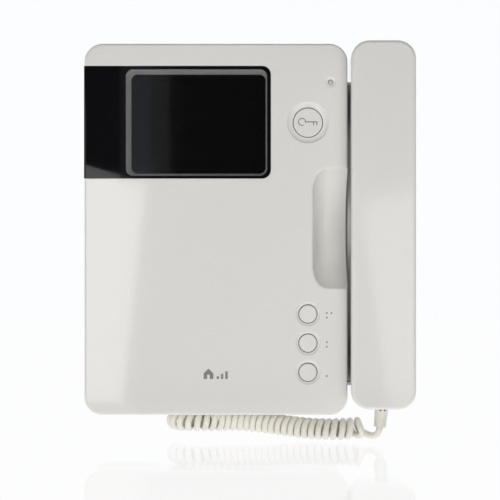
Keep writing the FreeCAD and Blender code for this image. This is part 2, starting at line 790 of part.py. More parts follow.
def tube_pads():
    """Two foam pads that press the tube against its mask."""
    left, right, bottom, top = screen_rectangle()
    y = TUBE_FRONT + TUBE_DEPTH
    made = [block(x, x + 22.0, y, RECESS_FLOOR, bottom, bottom + 10.0) for x in (left, right - 22.0)]
    return Part.makeCompound(made)


def deflection_yoke():
    """Ferrite ring and windings round the neck, just below the bulb."""
    _, (x, y, _) = tube_bulb(0)
    top = screen_rectangle()[2] - TUBE_BORDER - 2.0
    body = Part.makeCone(YOKE_RADIUS, YOKE_RADIUS - 1.0, 16.0, vec(x, y, top), vec(0, 0, -1))
    groove = Part.makeCylinder(YOKE_RADIUS + 1, 9.0, vec(x, y, top - 3.0), vec(0, 0, -1))
    groove = groove.cut(Part.makeCylinder(YOKE_RADIUS - 1.4, 9.0, vec(x, y, top - 3.0), vec(0, 0, -1)))
    bore = Part.makeCylinder(NECK_RADIUS + FIT, 30, vec(x, y, top + 5), vec(0, 0, -1))
    return without(body, [groove, bore])


def tube_base():
    """Round connector pushed on the end of the neck."""
    _, (x, y, end) = tube_bulb(0)
    cap = Part.makeCylinder(NECK_RADIUS - 0.5, 5.0, vec(x, y, end), vec(0, 0, -1))
    board = block(x - 12, x + 12, y - 8.0, y + 8.0, end - 6.6, end - 5.0)
    return joined([cap, board])


def flyback_transformer():
    """High-voltage transformer with its potted coil on the main board's front."""
    y1 = MAIN_BOARD_Y
    core = block(16, 44, y1 - 14, y1, -74, -56)
    coil = Part.makeCylinder(8.0, 16.0, vec(30, y1 - 11, -73), ALONG_Z)
    leg = block(26, 34, y1 - 18, y1 - 10, -75.5, -54.5)
    return joined([core, coil, leg])


# ---------------------------------------------------------------- boards and electronics
def keypad_screw_places():
    return [(46.0, 48.0), (69.0, 48.0), (50.0, 92.0), (46.0, -44.0), (69.0, -44.0), (46.0, -90.5)]


def keypad_board(z0, z1):
    board = block(42.0, 74.0, KEYPAD_BOARD_Y, KEYPAD_BOARD_Y + BOARD_SHEET, z0, z1)
    holes = [
        rod(1.5, x, z, KEYPAD_BOARD_Y - 1, KEYPAD_BOARD_Y + 4) for x, z in keypad_screw_places()
    ]
    return without(board, holes)


def key_switches():
    """Four push switches; each cap's stem moves in its switch's well."""
    made = []
    top = KEYPAD_BOARD_Y - SWITCH_HEIGHT
    half = SWITCH_SIDE / 2
    for _, z, _, _, _, _ in button_places():
        body = block(BUTTON_X - half, BUTTON_X + half, top, KEYPAD_BOARD_Y, z - half, z + half)
        made.append(body.cut(rod(STEM_RADIUS + 0.25, BUTTON_X, z, top - 1, top + 2.8)))
    return Part.makeCompound(made)


def keypad_screws():
    made = [
        pan_screw(x, z, KEYPAD_BOARD_Y + BOARD_SHEET + 1.17, 5.0, 0.9, 1.9, -1)
        for x, z in keypad_screw_places()
    ]
    return Part.makeCompound(made)


def status_led():
    """Round indicator with a domed end, its flange and two leads."""
    tip = COVER_FRONT + LED_DISH_DEPTH - 0.2
    body = rod(LED_RADIUS, LED_X, LED_Z, tip + LED_RADIUS * 0.7, tip + LED_LENGTH)
    dome = Part.makeSphere(LED_RADIUS, vec(LED_X, tip + LED_RADIUS, LED_Z))
    lead_start = tip + LED_LENGTH - 0.2
    leads = [
        block(LED_X + s - 0.25, LED_X + s + 0.25, lead_start, KEYPAD_BOARD_Y, LED_Z - 0.25, LED_Z + 0.25)
        for s in (-0.9, 0.9)
    ]
    return joined([body, dome] + leads)


def main_board():
    board = block(
        MAIN_BOARD_LEFT,
        MAIN_BOARD_RIGHT,
        MAIN_BOARD_Y,
        MAIN_BOARD_BACK,
        MAIN_BOARD_BOTTOM,
        MAIN_BOARD_TOP,
    )
    holes = [rod(1.6, x, z, MAIN_BOARD_Y - 1, 0) for x, z in main_screw_places()]
    return without(board, holes)


def main_screw_places():
    return [(-66.0, -55.5), (48.0, -74.0), (48.0, -38.0), (-40.0, -74.0)]


def main_screws():
    made = [
        pan_screw(x, z, MAIN_BOARD_Y - 1.95, 4.0, 1.5, 2.8, 1) for x, z in main_screw_places()
    ]
    return Part.makeCompound(made)


def board_components():
    """Capacitors, chips and the coil that stand on the main board's front."""
    y = MAIN_BOARD_Y
    made = [rod(r, x, z, y - h, y) for x, z, r, h in (
        (-50.0, -68.0, 4.0, 11.0),
        (-39.5, -66.0, 3.1, 9.0),
        (-50.0, -45.0, 5.0, 12.0),
        (-8.0, -70.0, 4.0, 11.0),
        (6.0, -70.0, 2.5, 7.0),
        (10.0, -50.0, 3.1, 9.0),
    )]
    made += [block(x - w / 2, x + w / 2, y - 2.2, y, z - h / 2, z + h / 2) for x, z, w, h in (
        (-26.0, -62.0, 12.0, 7.0),
        (-8.0, -56.0, 10.0, 10.0),
        (-26.0, -74.0, 14.0, 4.5),
    )]
    return Part.makeCompound(made)


def call_buzzer():
    """Round sounder for the call tone, on the main board."""
    x, z, y = 24.0, -43.5, MAIN_BOARD_Y
    can = rod(8.0, x, z, y - 7.0, y)
    return can.cut(rod(1.2, x, z, y - 8.0, y - 5.5))


def wheel_span():
    """Where the thumbwheels lie along Y."""
    y1 = MAIN_BOARD_Y - POT_HEIGHT
    return y1 - WHEEL_THICKNESS, y1


def wheel_x():
    return BODY_LEFT - WHEEL_PROUD + WHEEL_RADIUS


def thumbwheel(z):
    """Knurled control wheel whose rim shows at the monitor's left side."""
    y0, y1 = wheel_span()
    x = wheel_x()
    wheel = rod(WHEEL_RADIUS, x, z, y0, y1)
    notches = []
    for i in range(WHEEL_TEETH):
        a = 2 * math.pi * i / WHEEL_TEETH
        notches.append(
            rod(0.45, x + WHEEL_RADIUS * math.cos(a), z + WHEEL_RADIUS * math.sin(a), y0 - 1, y1 + 1)
        )
    return without(wheel, notches + [rod(WHEEL_BORE, x, z, y0 - 1, y1 + 1)])


def control_pots():
    """The two trimmer bodies, with the spindle that each wheel turns on."""
    made = []
    y0, y1 = wheel_span()
    for z in WHEEL_Z:
        x = wheel_x()
        body = block(x - 2.4, x + 7.0, y1 + 0.1, MAIN_BOARD_Y, z - 5.0, z + 5.0)
        made.append(joined([body, rod(WHEEL_BORE - 0.05, x, z, y0 - 0.4, y1 + 0.2)]))
    return Part.makeCompound(made)


def terminal_block():
    """Clamp terminals that stand through the housing for the riser wires."""
    x0, x1 = TERMINAL_X - TERMINAL_WIDTH / 2, TERMINAL_X + TERMINAL_WIDTH / 2
    z0, z1 = TERMINAL_Z - TERMINAL_HEIGHT / 2, TERMINAL_Z + TERMINAL_HEIGHT / 2
    y0, y1 = MAIN_BOARD_BACK, MAIN_BOARD_BACK + TERMINAL_DEPTH
    body = block(x0, x1, y0, y1, z0, z1)
    step = TERMINAL_WIDTH / TERMINAL_WAYS
    tools = []
    for i in range(TERMINAL_WAYS):
        x = x0 + step * (i + 0.5)
        tools.append(rod(1.7, x, TERMINAL_Z + 1.8, y1 - 5.0, y1 + 1))
        tools.append(block(x - 1.5, x + 1.5, y1 - 5.5, y1 - 2.2, z0 - 1, z0 + 3.0))
    return without(body, tools)


def terminal_screws():
    step = TERMINAL_WIDTH / TERMINAL_WAYS
    x0 = TERMINAL_X - TERMINAL_WIDTH / 2
    head = MAIN_BOARD_BACK + TERMINAL_DEPTH - 0.8
    made = []
    for i in range(TERMINAL_WAYS):
        x, z = x0 + step * (i + 0.5), TERMINAL_Z + 1.8
        screw = rod(1.6, x, z, head - 3.0, head)
        made.append(screw.cut(block(x - 1.2, x + 1.2, head - 0.7, head + 1, z - 0.25, z + 0.25)))
    return Part.makeCompound(made)


def cover_screws():
    made = [pan_screw(x, z, -0.9, 17.0, 1.45, 2.9, -1) for x, z in cover_screw_places()]
    return Part.makeCompound(made)


# ---------------------------------------------------------------- buttons and marks
def button_cap(z, radius, set_back):
    """Push button with a soft edge, a retaining flange and a stem."""
    front = COVER_FRONT + set_back
    collar_back = COVER_INSIDE + COLLAR_DEPTH
    flange_front = collar_back + CAP_GAP
    cap = rod(radius, BUTTON_X, z, front, flange_front + 0.1)
    cap = rounded_at(cap, front, 0.5)
    flange = rod(radius + CAP_FLANGE, BUTTON_X, z, flange_front, flange_front + CAP_FLANGE_THICKNESS)
    tip = KEYPAD_BOARD_Y - SWITCH_HEIGHT + 0.3
    stem = rod(STEM_RADIUS, BUTTON_X, z, flange_front + CAP_FLANGE_THICKNESS - 0.1, tip)
    return joined([cap, flange, stem])


def printed(x0, x1, z0, z1, y):
    """A printed bar on the plane at y."""
    return block(x0, x1, y - PRINT_THICKNESS, y, z0, z1)


def key_symbol():
    """Door-key pictogram printed on the door release button."""
    y = COVER_FRONT + DOOR_CAP_SET_BACK
    x, z = BUTTON_X - 3.6, DOOR_BUTTON_Z + 0.4
    line = 0.3
    bow = rod(2.35, x, z, y - PRINT_THICKNESS, y).cut(rod(1.8, x, z, y - 1, y + 1))
    bow = bow.cut(block(x + 0.6, x + 3.0, y - 1, y + 1, z - 1.9, z - 0.5))
    shaft = printed(x + 2.1, x + 9.3, z - line, z + line, y)
    teeth = [printed(x + a, x + a + 2 * line, z - 2.0, z + line, y) for a in (6.7, 8.7)]
    return joined([bow, shaft] + teeth)


def index_dots():
    """One, two and three printed dots beside the buttons."""
    patterns = {1: [(0, 1), (1, 1), (0, 0)], 0: [(0, 1), (0, 0)], -1: [(0, 0)]}
    made = []
    for row, dots in patterns.items():
        z0 = AUX_BUTTON_Z + row * AUX_BUTTON_PITCH - 2.2
        for i, j in dots:
            x, z = BUTTON_X + DOT_OFFSET_X + i * DOT_PITCH, z0 + j * DOT_PITCH
            made.append(rod(DOT_RADIUS, x, z, COVER_FRONT - PRINT_THICKNESS, COVER_FRONT))
    return Part.makeCompound(made)


def front_emblem():
    """Generic pictogram: a house with its door, and a row of bars."""
    y, z = COVER_FRONT, EMBLEM_Z
    low, eaves, ridge = z - 3.0, z + 0.4, z + 3.2

    def prism(points):
        corners = [vec(x, y - PRINT_THICKNESS, h) for x, h in points]
        face = Part.Face(Part.makePolygon(corners + corners[:1]))
        return face.extrude(vec(0, PRINT_THICKNESS, 0))

    house = prism([(-7.4, low), (-1.6, low), (-1.6, eaves), (-4.5, ridge), (-7.4, eaves)])
    house = house.cut(block(-5.3, -3.7, y - 1, y + 1, low - 1, low + 2.6))
    bars = [printed(0.4 + 2.6 * i, 1.8 + 2.6 * i, low, low + 1.6 + 1.5 * i, y) for i in range(3)]
    return Part.makeCompound([house] + bars)


# ---------------------------------------------------------------- cradle and hook switch
def handset_cradle():
    """Cap over the housing's arm, with the two lugs that locate the handset."""
    y0, y1 = CRADLE_FRONT, PARTING
    outer = slab(CRADLE_LEFT, CRADLE_RIGHT, CRADLE_BOTTOM, CRADLE_TOP, CRADLE_RADIUS, y0, y1)
    outer = rounded_at(outer, y0, 1.2)
    w = CRADLE_WALL
    inner = slab(
        CRADLE_LEFT + w,
        CRADLE_RIGHT - w,
        CRADLE_BOTTOM + w,
        CRADLE_TOP - w,
        CRADLE_RADIUS - w,
        y0 + w,
        y1 + BEYOND,
    )
    shell = outer.cut(inner)
    lugs = []
    for z, radius, height in (
        (EAR_Z, EAR_LUG_RADIUS, EAR_LUG_HEIGHT),
        (MOUTH_Z, MOUTH_LUG_RADIUS, MOUTH_LUG_HEIGHT),
    ):
        lug = rod(radius, HANDSET_X, z, y0 - height, y0 + 0.5)
        lugs.append(rounded_at(lug, y0 - height, 1.0))
    guide = rod(PLUNGER_RADIUS + 2.0, HANDSET_X, PLUNGER_Z, y0 + 0.5, y0 + w + 0.6)
    shell = joined([shell, guide] + lugs)
    hole = rod(PLUNGER_RADIUS + PLUNGER_CLEARANCE, HANDSET_X, PLUNGER_Z, y0 - 1, y0 + w + 2)
    return shell.cut(hole)


def hook_plunger():
    """Pin that the hung handset holds down and its spring pushes out."""
    tip = HANDSET_BACK + PLUNGER_REST_GAP
    flange = CRADLE_FRONT + CRADLE_WALL + 0.6 + PLUNGER_TRAVEL + 0.5
    pin = rounded_at(rod(PLUNGER_RADIUS, HANDSET_X, PLUNGER_Z, tip, flange + 0.2), tip, 0.8)
    ring = rod(PLUNGER_RADIUS + 1.4, HANDSET_X, PLUNGER_Z, flange, flange + 1.0)
    tail = rod(1.2, HANDSET_X, PLUNGER_Z, flange + 0.9, -13.5)
    return joined([pin, ring, tail])


def hook_switch():
    """Two-way contact block under the plunger."""
    body = block(HANDSET_X - 7, HANDSET_X + 7, -17.0, -HOUSING_WALL, PLUNGER_Z - 5, PLUNGER_Z + 5)
    return body.cut(rod(1.5, HANDSET_X, PLUNGER_Z, -18, -12.0))


def hook_spring():
    """Compression spring between the switch and the plunger's flange."""
    flange_back = CRADLE_FRONT + CRADLE_WALL + 0.6 + PLUNGER_TRAVEL + 1.5
    length = -17.0 - flange_back - 1.4
    wire, mean = 0.4, 2.3
    helix = Part.makeHelix(length / 5.0, length, mean)
    circle = Part.makeCircle(wire / 2, vec(mean, 0, 0), vec(0, 2 * math.pi * mean, length / 5.0))
    spring = Part.Wire(helix.Edges).makePipeShell([Part.Wire([circle])], True, True)
    spring.rotate(vec(0, 0, 0), vec(1, 0, 0), -90)
    spring.translate(vec(HANDSET_X, flange_back + 0.7, PLUNGER_Z))
    return spring


# ---------------------------------------------------------------- handset
def handset_solid(inset, front_inset):
    """The whole handset; inset makes the hollow inside it."""
    front = outline(
        HANDSET_LEFT + inset,
        HANDSET_RIGHT - inset,
        HANDSET_BOTTOM + inset,
        HANDSET_TOP - inset,
        HANDSET_RADIUS - inset,
        HANDSET_FRONT + front_inset,
    )
    d = HANDSET_DRAFT + inset
    back = outline(
        HANDSET_LEFT + d,
        HANDSET_RIGHT - d,
        HANDSET_BOTTOM + d,
        HANDSET_TOP - d,
        HANDSET_RADIUS - d,
        HANDSET_BACK - front_inset,
    )
    body = Part.makeLoft([front, back], True, True)
    if not inset:
        body = rounded_at(body, HANDSET_FRONT, HANDSET_EDGE)
        body = rounded_at(body, HANDSET_BACK, HANDSET_EDGE)
    return body.cut(grip_hollow(front_inset))


def grip_hollow(grow):
    """The waist cut from the back of the handset, with sloping ends."""
    depth_y = HANDSET_BACK - GRIP_HOLLOW - grow
    back = HANDSET_BACK + 5.0
    top, bottom = GRIP_TOP + grow * 0.8, GRIP_BOTTOM - grow * 0.8
    x0 = HANDSET_LEFT - 5.0
    extra = GRIP_SLOPE * 5.0 / GRIP_HOLLOW
    corners = [
        vec(x0, depth_y, bottom),
        vec(x0, depth_y, top),
        vec(x0, back, top + GRIP_SLOPE + extra),
        vec(x0, back, bottom - GRIP_SLOPE - extra),
    ]
    face = Part.Face(Part.makePolygon(corners + corners[:1]))
    tool = face.extrude(vec(HANDSET_WIDTH + 10.0, 0, 0))
    edges = [e for e in tool.Edges if abs(e.CenterOfMass.y - depth_y) < 1e-3 and e.Length > HANDSET_WIDTH
             and abs(e.tangentAt(e.FirstParameter).x) > 0.99]
    return tool.makeFillet(14.0, edges)


def relief_hole(radius):
    return Part.makeCylinder(
        radius, 12.0, vec(HANDSET_X, HANDSET_PARTING, HANDSET_BOTTOM - 6.0), ALONG_Z
    )


def handset_halves():
    """The hollow handset, cut at its parting plane into (front shell, rear shell)."""
    hollow = handset_solid(HANDSET_WALL, HANDSET_WALL)
    pads = [
        rod(radius + DISH_FLOOR, HANDSET_X, z, HANDSET_BACK - dish - DISH_FLOOR, HANDSET_BACK)
        for radius, z, dish in ((EAR_RADIUS, EAR_Z, EAR_DISH), (MOUTH_RADIUS, MOUTH_Z, MOUTH_DISH))
    ]
    whole = handset_solid(0, 0)
    shell = whole.cut(without(hollow, pads))
    tools = []
    for z, radius, depth in ((EAR_Z, EAR_RADIUS, EAR_DISH), (MOUTH_Z, MOUTH_RADIUS, MOUTH_DISH)):
        cup = Part.makeCone(
            radius - 1.2, radius, depth, vec(HANDSET_X, HANDSET_BACK - depth, z), ALONG_Y
        )
        tools.append(cup)
        tools.append(rod(radius, HANDSET_X, z, HANDSET_BACK, HANDSET_BACK + BEYOND))
        floor = HANDSET_BACK - depth
        for ring_radius, count in ((0.0, 1), (3.0, 6), (6.0, 12)):
            for i in range(count):
                a = 2 * math.pi * i / count
                tools.append(
                    rod(
                        0.7,
                        HANDSET_X + ring_radius * math.cos(a),
                        z + ring_radius * math.sin(a),
                        floor - DISH_FLOOR - BEYOND,
                        floor + BEYOND,
                    )
                )
    tools.append(relief_hole(RELIEF_TOP_RADIUS + 0.05))
    for x, z in handset_screw_places():
        tools.append(rod(1.6, x, z, HANDSET_PARTING - 6, HANDSET_BACK + 1))
    places = handset_screw_places()
    shell_posts = [rod(3.0, x, z, HANDSET_FRONT + 1.0, HANDSET_BACK - 1.0) for x, z in places]
    posts = [p.common(whole) for p in shell_posts]
    shell = joined([shell] + posts)
    for x, z in handset_screw_places():
        tools.append(rod(2.9, x, z, SCREW_SEAT, HANDSET_BACK + 1))
    shell = without(shell, tools)
    far = 200.0
    front = shell.common(block(0, far, HANDSET_FRONT - 1, HANDSET_PARTING, -far, far))
    rear = shell.common(block(0, far, HANDSET_PARTING, HANDSET_BACK + 1, -far, far))
    return front, rear


def handset_screw_places():
    """One screw inside each end, between the dish and the grip."""
    return [(HANDSET_X, EAR_Z - EAR_SCREW_DROP), (HANDSET_X, MOUTH_Z + MOUTH_SCREW_RISE)]


def handset_screws():
    made = [
        pan_screw(x, z, SCREW_SEAT + 1.95, 10.5, 1.5, 2.7, -1) for x, z in handset_screw_places()
    ]
    return Part.makeCompound(made)


def earpiece_capsule():
    """Receiver behind the ear dish."""
    y = HANDSET_BACK - EAR_DISH - DISH_FLOOR
    can = rod(13.5, HANDSET_X, EAR_Z, y - 7.0, y)
    magnet = rod(6.5, HANDSET_X, EAR_Z, y - 10.5, y - 6.9)
    return joined([can, magnet]).cut(rod(9.0, HANDSET_X, EAR_Z, y - 1.0, y + 1))


def microphone_capsule():
    y = HANDSET_BACK - MOUTH_DISH - DISH_FLOOR - 0.5
    return rod(4.8, HANDSET_X, MOUTH_Z, y - 5.5, y)


def microphone_boot():
    """Rubber cup that holds the microphone against the mouth dish."""
    y = HANDSET_BACK - MOUTH_DISH - DISH_FLOOR
    cup = rod(7.0, HANDSET_X, MOUTH_Z, y - 7.0, y)
    return cup.cut(rod(4.85, HANDSET_X, MOUTH_Z, y - 6.1, y + 1))


def handset_weight():
    """Steel bar in the grip that gives the handset its heft."""
    y0 = HANDSET_FRONT + HANDSET_WALL
    z0, z1 = MOUTH_Z + WEIGHT_ABOVE_MOUTH, EAR_Z - WEIGHT_BELOW_EAR
    return block(HANDSET_X - 9, HANDSET_X + 9, y0, y0 + 7.0, z0, z1)


def strain_relief():
    """Tapered rubber sleeve where the cord leaves the handset, with flex slots."""
    x, y = HANDSET_X, HANDSET_PARTING
    lean = vec(RELIEF_LEAN[0], RELIEF_LEAN[1], -1)
    top = vec(x, y, HANDSET_BOTTOM)
    sleeve = Part.makeCone(RELIEF_TOP_RADIUS, RELIEF_END_RADIUS, RELIEF_LENGTH, top, lean)
    neck = Part.makeCylinder(RELIEF_NECK_RADIUS, HANDSET_WALL + 1.5, top - vec(0, 0, 0.3), ALONG_Z)
    flange_z = HANDSET_BOTTOM + HANDSET_WALL + 1.0
    flange = Part.makeCylinder(RELIEF_TOP_RADIUS + 1.5, 1.6, vec(x, y, flange_z), ALONG_Z)
    body = joined([sleeve, neck, flange])
    holes = [rod(0.5, x + s, HANDSET_BOTTOM - 1.6, y - 6, y + 0.5) for s in (-0.9, 1.6)]
    return without(body, holes)


# ---------------------------------------------------------------- cord
def coil():
    """The outer shape of the curly cord's turns."""
    return tube_along(COIL_POINTS, COIL_DIAMETER)


def cord_lead(points):
    """A straight end of the cord, which runs into the side of the coil's last turn."""
    return tube_along(points, CORD_DIAMETER).cut(coil())


def cord_plug():
    """Modular plug, with its latch towards the wall."""
    w, d = PLUG_WIDTH / 2, PLUG_DEPTH / 2
    body = block(JACK_X - w, JACK_X + w, JACK_Y - d, JACK_Y + d, PLUG_BOTTOM, PLUG_BOTTOM + PLUG_LENGTH)
    grooves = [
        block(
            JACK_X - 3.2 + 1.27 * i,
            JACK_X - 2.8 + 1.27 * i,
            JACK_Y - d - 1,
            JACK_Y - d + 0.8,
            PLUG_BOTTOM + PLUG_LENGTH - 5.0,
            PLUG_BOTTOM + PLUG_LENGTH + 1,
        )
        for i in range(6)
    ]
    low = PLUG_BOTTOM + 0.5
    latch = block(JACK_X - 1.5, JACK_X + 1.5, JACK_Y + d - 0.01, JACK_Y + d + 1.2, low, low + 3.1)
    return joined([without(body, grooves), latch])


def cord_jack():
    """Modular socket above the bay's ceiling, with contacts' comb left plain."""
    z0 = BAY_CEILING + HOUSING_WALL
    w, d = PLUG_WIDTH / 2 + 1.4, PLUG_DEPTH / 2 + 1.4
    z1 = z0 + PLUG_LENGTH - PLUG_OUTSIDE
    body = block(JACK_X - w, JACK_X + w, MAIN_BOARD_BACK, JACK_Y + d, z0, z1)
    w, d = PLUG_WIDTH / 2 + JACK_CLEARANCE, PLUG_DEPTH / 2 + JACK_CLEARANCE
    top = PLUG_BOTTOM + PLUG_LENGTH + 0.2
    return body.cut(block(JACK_X - w, JACK_X + w, JACK_Y - d, JACK_Y + d, z0 - 1, top))


# ---------------------------------------------------------------- build
def build():
    front_shell, rear_shell = handset_halves()
    parts = {
        "wall_bracket": wall_bracket(),
        "rear_housing": rear_housing(),
        "front_cover": front_cover(),
        "screen_window": screen_window(),
        "screen_mask": screen_mask(),
        "picture_tube": picture_tube(),
        "phosphor_screen": phosphor_screen(),
        "tube_pads": tube_pads(),
        "deflection_yoke": deflection_yoke(),
        "tube_base": tube_base(),
        "flyback_transformer": flyback_transformer(),
        "upper_keypad_board": keypad_board(44.0, 96.0),
        "lower_keypad_board": keypad_board(-95.0, -40.0),
        "key_switches": key_switches(),
        "keypad_screws": keypad_screws(),
        "status_led": status_led(),
        "main_board": main_board(),
        "main_board_screws": main_screws(),
        "board_components": board_components(),
        "call_buzzer": call_buzzer(),
        "brightness_wheel": thumbwheel(WHEEL_Z[0]),
        "contrast_wheel": thumbwheel(WHEEL_Z[1]),
        "control_pots": control_pots(),
        "terminal_block": terminal_block(),
        "terminal_screws": terminal_screws(),
        "cover_screws": cover_screws(),
        "key_symbol": key_symbol(),
        "index_dots": index_dots(),
        "front_emblem": front_emblem(),
        "cradle_base": cradle_base(),
        "cradle_screws": cradle_screws(),
        "handset_cradle": handset_cradle(),
        "hook_plunger": hook_plunger(),
        "hook_switch": hook_switch(),
        "hook_spring": hook_spring(),
        "handset_front_shell": front_shell,
        "handset_rear_shell": rear_shell,
        "handset_screws": handset_screws(),
        "earpiece_capsule": earpiece_capsule(),
        "microphone_capsule": microphone_capsule(),
        "microphone_boot": microphone_boot(),
        "handset_weight": handset_weight(),
        "handset_strain_relief": strain_relief(),
        "cord_handset_tail": cord_lead(HANDSET_TAIL_POINTS),
        "cord_coil": coil(),
        "cord_plug_tail": cord_lead(PLUG_TAIL_POINTS),
        "cord_plug": cord_plug(),
        "cord_jack": cord_jack(),
    }
    for name, z, cap, _, _, set_back in button_places():
        parts[name] = button_cap(z, cap, set_back)
    return parts


def main():
    os.makedirs("parts", exist_ok=True)
    for name, shape in build().items():
        solids = shape.Solids
        bad = [s for s in solids if not s.isValid() or s.Volume <= 0]
        if bad or not solids:
            print("PROBLEM", name, len(solids), "solids", len(bad), "bad")
        shape = solids[0] if len(solids) == 1 else Part.makeCompound(solids)
        print(f"{name}: {len(solids)} solid(s), {shape.Volume:.0f} mm3")
        shape.exportStep(f"parts/{name}.step")


main()
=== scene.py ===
"""Looks for a wall-hung video intercom monitor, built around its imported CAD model."""

import bpy
import math
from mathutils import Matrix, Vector


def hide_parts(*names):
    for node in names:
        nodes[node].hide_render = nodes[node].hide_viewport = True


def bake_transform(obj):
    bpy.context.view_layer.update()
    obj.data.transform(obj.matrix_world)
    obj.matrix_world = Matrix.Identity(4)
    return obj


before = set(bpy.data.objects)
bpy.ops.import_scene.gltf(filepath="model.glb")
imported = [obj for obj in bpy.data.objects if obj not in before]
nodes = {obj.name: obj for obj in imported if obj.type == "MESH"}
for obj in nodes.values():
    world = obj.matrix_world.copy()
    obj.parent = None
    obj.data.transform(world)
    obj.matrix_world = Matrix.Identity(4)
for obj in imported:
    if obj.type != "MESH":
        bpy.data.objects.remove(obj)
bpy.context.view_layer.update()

MM = 0.001


# ------------------------------------------------------------------ shader maths
class Shade:
    """One socket of a finish. Sums written on it become the finish's nodes."""

    def __init__(self, finish, socket):
        self.finish, self.socket = finish, socket

    def math(self, operation, *others):
        inputs = dict(enumerate((self,) + others))
        return self.finish.add("ShaderNodeMath", {"operation": operation}, inputs)

    def __add__(self, other):
        return self.math("ADD", other)

    def __radd__(self, other):
        return self.math("ADD", other)

    def __sub__(self, other):
        return self.math("SUBTRACT", other)

    def __rsub__(self, other):
        return self.finish.add("ShaderNodeMath", {"operation": "SUBTRACT"}, {0: other, 1: self})

    def __mul__(self, other):
        return self.math("MULTIPLY", other)

    def __rmul__(self, other):
        return self.math("MULTIPLY", other)

    def __abs__(self):
        return self.math("ABSOLUTE")

    def least(self, other):
        return self.math("MINIMUM", other)

    def most(self, other):
        return self.math("MAXIMUM", other)

    def power(self, exponent):
        return self.math("POWER", exponent)

    def band(self, low, high, to_low=0.0, to_high=1.0):
        """Runs smoothly from to_low to to_high as this value goes from low to high."""
        settings = {"interpolation_type": "SMOOTHSTEP"}
        names = ("Value", "From Min", "From Max", "To Min", "To Max")
        inputs = dict(zip(names, (self, low, high, to_low, to_high)))
        return self.finish.add("ShaderNodeMapRange", settings, inputs)

    def out(self, name):
        return Shade(self.finish, self.socket.node.outputs[name])


class Finish:
    """A node material for one kind of surface, or the nodes of the room's air."""

    def __init__(self, name, world=None):
        self.material = world or bpy.data.materials.new(name)
        self.material.use_nodes = True
        self.tree = self.material.node_tree
        self.tree.nodes.clear()
        self.place = self.add("ShaderNodeTexCoord").out("Object")

    def add(self, kind, settings=None, inputs=None):
        """Any node: its settings first, then the values or links of its sockets."""
        node = self.tree.nodes.new(kind)
        for key, value in (settings or {}).items():
            if key == "stops":
                self.set_stops(node.color_ramp, value)
            else:
                setattr(node, key, value)
        for key, value in (inputs or {}).items():
            if isinstance(value, Shade):
                self.tree.links.new(value.socket, node.inputs[key])
            else:
                node.inputs[key].default_value = value
        return Shade(self, node.outputs[0]) if len(node.outputs) else None

    @staticmethod
    def set_stops(ramp, stops):
        while len(ramp.elements) < len(stops):
            ramp.elements.new(1.0)
        for element, (at, colour) in zip(ramp.elements, stops):
            element.position, element.color = at, (*colour, 1.0)

    def noise(self, grains_per_metre, detail=2.0, stretch=(1, 1, 1)):
        """Grey noise in the object's own metres."""
        moved = self.add(
            "ShaderNodeVectorMath", {"operation": "MULTIPLY"}, {0: self.place, 1: stretch}
        )
        inputs = {"Vector": moved, "Scale": grains_per_metre, "Detail": detail}
        return self.add("ShaderNodeTexNoise", None, inputs)

    def axes(self):
        split = self.add("ShaderNodeSeparateXYZ", None, {0: self.place})
        return split.out("X"), split.out("Y"), split.out("Z")

    def mix(self, factor, first, second):
        """One colour running into another."""
        node = self.tree.nodes.new("ShaderNodeMix")
        node.data_type = "RGBA"
        sockets = (node.inputs[0], node.inputs[6], node.inputs[7])
        for socket, value in zip(sockets, (factor, first, second)):
            if isinstance(value, Shade):
                self.tree.links.new(value.socket, socket)
            else:
                socket.default_value = value if isinstance(value, float) else (*value, 1.0)
        return Shade(self, node.outputs[2])

    def bump(self, height, depth, strength=1.0):
        """A surface normal from a height; depth is in metres."""
        inputs = {"Height": height, "Distance": depth, "Strength": strength}
        return self.add("ShaderNodeBump", None, inputs)

    def surface(self, **sockets):
        """The finished shader; words in socket names are split by underscores."""
        inputs = {}
        for key, value in sockets.items():
            if key.endswith("Color"):
                value = value if isinstance(value, Shade) else (*value, 1.0)
            inputs[key.replace("_", " ")] = value
        shader = self.add("ShaderNodeBsdfPrincipled", None, inputs)
        return self.close(shader)

    def close(self, shader):
        self.add("ShaderNodeOutputMaterial", None, {"Surface": shader})
        return self.material


def shaded(colour, share):
    return tuple(c * share for c in colour)


# ------------------------------------------------------------------ finishes
KEY_COLUMN = 55.2 * MM  # the keys' centres across
GAP_DEPTH = -48.4 * MM  # where the shaded part of the gaps round the keys begins


def with_painted_gap_shade(f, tone, colour):
    """Painted shade: the walls deep in the gaps round the keys are darkened."""
    x, y, z = f.axes()
    column = abs(x - KEY_COLUMN).band(0.0125, 0.0135, 1.0, 0.0)
    clear_of_scoop = abs(z).band(0.042, 0.044)
    clear_of_ends = abs(z).band(0.098, 0.1, 1.0, 0.0)
    deep = y.band(GAP_DEPTH, GAP_DEPTH + 0.0003)
    clear_of_rear = y.band(-0.0415, -0.041, 1.0, 0.0)
    # Painted shade mask: walls deep in the key gaps, clear of the scoop, the ends and the rear.
    gap_shade_mask = column * clear_of_scoop * clear_of_ends * deep * clear_of_rear
    return f.mix(gap_shade_mask, tone, shaded(colour, 0.08))


def polished_plastic(name, colour, roughness=0.05, peel=0.6, ior=1.47):
    """Gloss moulding: faint flow clouds, fine hairline wear and a slight orange peel."""
    f = Finish(name)
    clouds = f.noise(9.0, 3.0)
    tone = f.mix(clouds.band(0.35, 0.65), colour, shaded(colour, 0.985))
    specks = f.noise(900.0, 2.0).band(0.62, 0.75)
    # Random dark specks, then painted shade on the walls deep in the gaps round the keys.
    tone = with_painted_gap_shade(f, f.mix(specks * 0.04, tone, shaded(colour, 0.8)), colour)
    hairs = f.noise(220.0, 4.0, (1, 1, 0.06)).band(0.55, 0.8)
    rough = clouds.band(0.3, 0.7, roughness - 0.01, roughness + 0.012) + hairs * 0.02
    normal = f.bump(f.noise(70.0, 1.0), 0.000006 * peel)
    return f.surface(Base_Color=tone, Roughness=rough, IOR=ior, Normal=normal)


